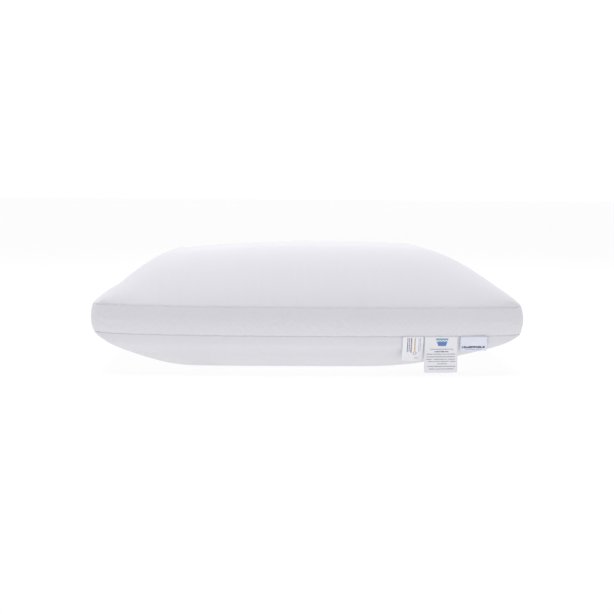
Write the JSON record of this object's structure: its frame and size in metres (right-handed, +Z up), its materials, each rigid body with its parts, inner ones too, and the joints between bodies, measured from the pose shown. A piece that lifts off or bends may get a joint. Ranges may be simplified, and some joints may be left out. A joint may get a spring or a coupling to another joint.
{
  "type": "bed pillow",
  "caption": "Boxed rectangular bed pillow with a side gusset between two seams, fibre filling and sewn-in labels.",
  "frame": {"origin": "centre of the flat underside that the pillow rests on", "axes": "+X along the long side, +Y from the labelled front seam to the back, +Z up through the crown"},
  "size_m": [0.72, 0.456, 0.2],
  "materials": {
    "white_cotton": "smooth tightly woven cotton, faint sheen",
    "white_thread": "twisted polyester sewing thread",
    "polyester_fibre": "loose matt fibre",
    "care_ribbon": "smooth printed nylon ribbon",
    "certificate_ribbon": "satin ribbon",
    "batch_ribbon": "plain nylon ribbon",
    "brand_ribbon": "satin ribbon"
  },
  "bodies": {
    "casing": {"bottom_panel": "white_cotton", "gusset_front": "white_cotton", "gusset_back": "white_cotton", "gusset_join_threads": "white_thread", "upper_seam_thread": "white_thread", "lower_seam_thread": "white_thread", "closing_seam_thread": "white_thread", "fibre_fill": "polyester_fibre"},
    "crown": {"top_panel": "white_cotton"},
    "certificate_label": {"certificate_label": "certificate_ribbon", "batch_label": "batch_ribbon"},
    "care_label": {"care_label": "care_ribbon"},
    "brand_label": {"brand_label": "brand_ribbon"}
  },
  "joints": [
    {"name": "crown_press", "type": "slide", "parent": "casing", "child": "crown", "axis": [0, 0, -1], "range_m": [0, 0.045], "stiffness_N_per_m": 700, "springref_m": -0.004, "deforming": ["fibre_fill"]},
    {"name": "certificate_flap", "type": "hinge", "parent": "casing", "child": "certificate_label", "pos_m": [0.168, -0.22184, 0.0602], "axis": [-0.9996, -0.0298, 0], "range_deg": [-8, 165]},
    {"name": "care_flap", "type": "hinge", "parent": "casing", "child": "care_label", "pos_m": [0.2135, -0.2203, 0.0602], "axis": [-0.9993, -0.0379, 0], "range_deg": [-32, 150]},
    {"name": "brand_flap", "type": "hinge", "parent": "casing", "child": "brand_label", "pos_m": [0.267, -0.21802, 0.0602], "axis": [-0.9989, -0.0474, 0], "range_deg": [-8, 165]}
  ]
}
